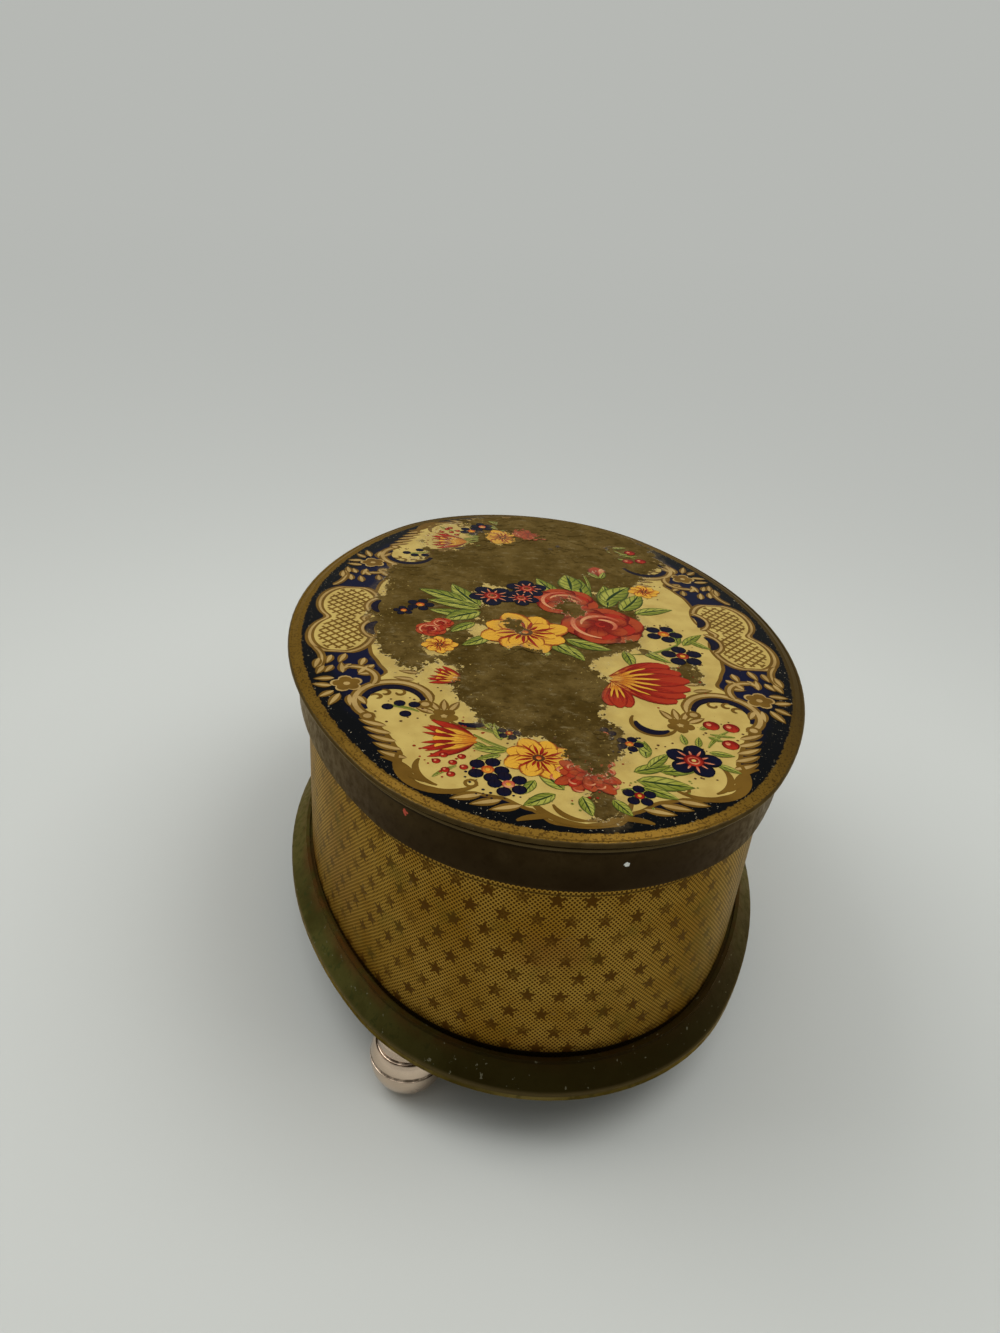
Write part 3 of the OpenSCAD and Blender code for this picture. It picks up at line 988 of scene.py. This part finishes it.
def lily(root, heading, reach, level):
    for spread in (-48, 48, -27, 27):
        leaf("crimson", root, heading + spread, reach, reach * 0.26, level, -spread * 0.5)
    for spread in (-26, 26, 0):
        petal("yellow", root, heading + spread, reach * 0.74, reach * 0.36, level + 1, -spread * 0.5)
    for spread in (-26, -10, 10, 26):
        leaf("crimson", beside(root, heading + spread, reach * 0.36), heading + spread, reach * 0.58,
             reach * 0.11, level + 2)


def berries(spots, radius, level):
    for spot in spots:
        dot("crimson", spot, radius, level)
        dot("pink", (spot[0] - radius * 0.25, spot[1] - radius * 0.25), radius * 0.35, level + 1)


def sprinkle(ink, centre, reach, count):
    """Stipple dots strewn round a flower."""
    for k in range(count):
        spread = reach * (0.55 + 0.45 * strew.random())
        spot = beside(centre, 360 * strew.random(), spread)
        dot(ink, spot, 0.1 + 0.1 * strew.random(), stipple_level, 4)


def foliage(leaves, level):
    for x, y, heading, reach, width in leaves:
        leaf("green", (x, y), heading, reach, width, level, 18 if heading % 2 else -18)


def stalk(root, heading, reach, level, bend=0):
    stroke("green", arc_path(root, heading, reach, bend), 0.5, level)


# The middle bunch
foliage((
    (-4, -9, 216, 9.5, 3.4), (-3, -9, 243, 8.6, 3), (-1, -10, 270, 7, 2.6), (-6, 11, 165, 9, 3.6),
    (-8, 8, 188, 9.5, 3.4), (-5, 13, 139, 8.4, 3.4), (-10, 4, 214, 7.5, 2.8), (5, 0, 21, 7.5, 2.8),
    (6, -4, 348, 6.5, 2.5), (6, 3, 55, 7, 2.7), (6, -8, 320, 5.4, 2.2), (8, 13.4, 33, 5.6, 1.9),
    (6, 19.5, 171, 5.2, 1.5), (6.5, 20.2, 146, 5.6, 1.6), (4.5, 21.4, 35, 4, 1.3), (-4, 15, 118, 7, 2.6),
    (-12, 6, 171, 7, 4.2), (-8, 11, 152, 8.5, 4.4), (-2, -9, 293, 6.5, 3.6), (-5, -11, 229, 9, 3.4),
    (9, -1, 8, 5.5, 2.4), (8, 2, 40, 5.5, 2.2), (2, -10, 305, 5, 2), (9, 11, 12, 5, 1.8),
), 14)
for ink, x, y, reach, count in (
    ("brown", 2.6, 18.4, 3.8, 16), ("brown", 9.8, 19.2, 3.8, 16), ("crimson", 17.6, 13.4, 7.4, 18),
    ("brown", -13.2, 18.4, 4.2, 12), ("brown", 19.4, -15.4, 3.6, 10),
):
    sprinkle(ink, (x, y), reach, count)
stalk((10, 12), 96, 10, 14, 50)
stalk((-11, 9), 170, 9, 14, 20)
petal("crimson", (-18.6, 11.6), 178, 4.6, 3, 16)
petal("pink", (-19.2, 12.2), 172, 3.4, 1.1, 17)
foliage(((-18, 11.6, 205, 3.4, 1.1), (-18, 11.8, 151, 3.4, 1.1)), 17)
rose((-7.4, 4.6), 5.2, 17, 15)
for x, y, radius in ((-8.4, -7, 3.8), (-12, -1.2, 3.4), (-8, -2.4, 2.9)):
    dark_flower((x, y), radius, 17.5, x * 9)
rose((0.8, 9.2), 6.4, 23, 40)
yellow_flower((4.5, -2.8), 6.8, 28, 12)
tulip((17.4, 8), 84, 10.4, 24)
tulip((18.6, 8), -4, 6.8, 22, (-15, 15, 0))
yellow_flower((-13.2, 18.4), 2.7, 16)
navy_flower((2.8, 18.1), 2.9, 16, 10, "orange")
navy_flower((9.8, 19.3), 3.1, 16, 40, "coral")
rose((4.8, -16.4), 2.3, 16)
rose((2.6, -14.8), 1.7, 16, 30)
yellow_flower((9.7, -15.1), 2.6, 16)
navy_flower((-3.6, -18.2), 2.2, 16, 20, "orange")
navy_flower((-1.2, -20.6), 1.6, 16, 50, "orange")
lily((19.4, -12.4), 250, 4.2, 16)

# The end sprays: whole at the front, nearly worn away at the back
for end in (1, -1):
    spot, turned, flip = corner_frame(end, 1)
    for x, y, heading, reach, width in (
        (42.6, -1.6, 215, 4.6, 1.9), (43.4, -2.6, 300, 4.2, 1.8), (43.6, 0.2, 10, 3.4, 1.6),
        (40.4, 6.6, 80, 6.4, 2.7), (38.8, 6.6, 108, 4.8, 1.8), (38, 8.4, 135, 4.4, 1.5),
        (41.6, 7, 60, 4.2, 1.6), (33.4, -7.8, 190, 3.8, 1.2), (35.6, -7.2, 265, 4, 1.4),
        (36.4, -8, 290, 3, 1), (34.4, 16.4, 78, 3, 1.2), (33, 14, 180, 2.4, 0.9),
        (33.4, 15.4, 165, 2.4, 0.9), (36.8, 16.6, 55, 3, 1.1), (36, 8.6, 172, 3.6, 1.5),
        (35, 9.4, 205, 3, 1.3), (44, 3.4, 30, 3.2, 1.5), (42.2, 4.6, 70, 3.6, 1.5),
        (35.4, -9.2, 235, 3.4, 1), (31.4, -8.6, 205, 3.2, 1), (38.6, 9.6, 95, 4.4, 1.7),
        (41, -4.6, 330, 3, 1.3), (29.4, 16.6, 120, 2, 0.8), (31, 17.2, 60, 2, 0.8),
    ):
        leaf("green", spot(x, y), turned(heading), reach, width, 14)
    for x, y, heading, reach, bend in (
        (35.4, -6.6, 250, 5.4, -30), (33.2, -6.4, 230, 4.8, 25), (38.8, -13, 300, 3.4, 20),
        (33.4, 16.6, 150, 5.2, -25), (30.4, 17.6, 75, 3, 10), (27.8, -17.4, 235, 4.6, 40),
    ):
        stalk(spot(x, y), turned(heading), reach, 13, bend * flip)
    lily(spot(33.6, -10.8), turned(268), 6.6, 15)
    cluster = (
        (37, -12.4), (38.2, -13.4), (38, -15.2), (39.6, -14.2),
        (40.4, -13.6), (39, -12.2), (36.8, -14.4),
    )
    berries([spot(x, y) for x, y in cluster], 0.5, 15)
    navy_flower(spot(39.3, -9.6), 2.4, 15, 12, "orange")
    navy_flower(spot(41.9, -7.5), 2.3, 18, 50, "pink")
    navy_flower(spot(31.8, -6.8), 1.5, 15, 20, "coral")
    yellow_flower(spot(36.8, -3.8), 4.2, 18, 15)
    bloom = spot(39.6, 1.4)
    for ink, petals, reach, width, level in (
        ("coral", 11, 4.3, 1.7, 22), ("crimson", 10, 3.3, 1.25, 23),
        ("coral", 8, 2.4, 1.15, 24), ("crimson", 6, 1.5, 0.8, 25),
    ):
        for k in range(petals):
            heading = turned(k * 360 / petals + 9 * level)
            petal(ink, bloom, heading, reach * (1 - 0.13 * (k % 3)), width, level)
    for k in range(14):
        frill = beside(bloom, turned(k * 77), 1.4 + 0.17 * k)
        stroke("pink", ring_path(frill, 0.62, turned(k * 77 - 60), 120 * flip), 0.24, 26)
    navy_flower(spot(43.2, 6.4), 1.9, 16, 30, "crimson")
    navy_flower(spot(31.2, 4.6), 1.5, 16, 30, "pink")
    navy_flower(spot(33.2, 7.2), 1.7, 16, 10, "orange")
    dark_flower(spot(36.2, 14.1), 3.3, 16, 20)
    for x, y in ((26.2, -18), (26, -19.8), (26.9, -21.2), (28.4, -19)):
        dot("navy", spot(x, y), 0.72, 15)
    berries([spot(28.4, 18.3), spot(28.8, 20.7), spot(32.6, 19.5)], 1.05, 15)
    for ink, x, y, reach, count in (
        ("crimson", 33.6, -13.6, 5.2, 16), ("crimson", 38.4, -13.6, 3, 14), ("navy", 40.4, -8.6, 4.4, 26),
        ("brown", 36.8, -3.8, 5.2, 14), ("crimson", 39.6, 1.4, 5.4, 18), ("brown", 36.2, 14.1, 4.6, 20),
        ("navy", 32.4, 6, 3.4, 14), ("brown", 27.4, -19.4, 3.4, 12), ("brown", 30.2, 19.4, 3.2, 12),
        ("green", 41.4, 9, 4.4, 12), ("green", 43.2, -2, 3.4, 8),
    ):
        sprinkle(ink, spot(x, y), reach, count)


def new_piece(name, sheet, material):
    mesh = bpy.data.meshes.new(name)
    sheet.to_mesh(mesh)
    sheet.free()
    mesh.materials.append(material)
    piece = bpy.data.objects.new(name, mesh)
    scene.collection.objects.link(piece)
    return piece


for ink, sheet in inks.items():
    wear_tree = ground_wear if ink in ground_inks else flower_wear
    ink_finish = worn_print("ink_" + ink, ink_colours[ink], 0.32, wear_tree)
    print_piece = new_piece("print_" + ink, sheet, ink_finish)
    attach(print_piece, "lid")

# Floor and light
# A pale sheet under the box that runs out into an even pale room, with soft light from the left, the
# right and above, and little from the camera's side.
floor_radius = 4.0
pale_room = (0.468, 0.48, 0.456)


def shows_room(tree):
    """Rays that see the pale room: straight from the camera, or by way of metal or glass."""
    rays = shade(tree, "LightPath", {}).outputs
    mirrored = calc(tree, "MAXIMUM", rays["Is Glossy Ray"], rays["Is Transmission Ray"])
    return calc(tree, "MAXIMUM", rays["Is Camera Ray"], mirrored)


pale_paper, tree, shader = new_finish("pale_paper")
on_floor = shade(tree, "TexCoord", {}).outputs["Object"]
paper_colour = tint(tree, grain(tree, on_floor, 6.0), (0.485, 0.5, 0.472), (0.5, 0.51, 0.483))
feed(tree, shader, {"Base Color": paper_colour, "Roughness": 0.85})
nearness = calc(tree, "DIVIDE", 1.0, distance(tree, on_floor))
far = times(tree, fade(tree, nearness, 9.5, 0.0), shows_room(tree))
room_glow = shade(tree, "Emission", {"Color": pale_room})
paper_or_room = shade(tree, "MixShader", {0: far, 1: shader.outputs[0], 2: room_glow.outputs[0]})
feed(tree, tree.nodes["Material Output"], {"Surface": paper_or_room.outputs[0]})
sheet = bmesh.new()
bmesh.ops.create_circle(sheet, cap_ends=True, segments=64, radius=floor_radius)
floor = new_piece("floor", sheet, pale_paper)
lamp_aim = Vector((0, 0, 0.03))


def soft_lamp(name, spot, size, power):
    lamp = bpy.data.lights.new(name, "AREA")
    lamp.shape = "SQUARE"
    lamp.size = size
    lamp.energy = power
    lamp_object = bpy.data.objects.new(name, lamp)
    scene.collection.objects.link(lamp_object)
    turn = (lamp_aim - Vector(spot)).to_track_quat("-Z", "Y").to_matrix().to_4x4()
    lamp_object.matrix_world = Matrix.Translation(spot) @ turn


soft_lamp("left_window", (-0.25, -0.8, 0.98), 0.8, 6.0)
soft_lamp("right_window", (0.05, 0.65, 1.2), 0.8, 6.0)
soft_lamp("ceiling_light", (0.05, 0.0, 1.4), 1.5, 7.6)
scene.world = bpy.data.worlds.new("room")
scene.world.use_nodes = True
room = scene.world.node_tree
toward_camera = axes(room, shade(room, "TexCoord", {}).outputs["Generated"])[0]
dim = fade(room, toward_camera, 0.75, -0.6)
room_tone = tint(room, dim, (0.31, 0.31, 0.303), (0.46, 0.47, 0.46))
feed(room, room.nodes["Background"], {"Color": tint(room, shows_room(room), room_tone, pale_room)})
scene.view_settings.view_transform = "Standard"
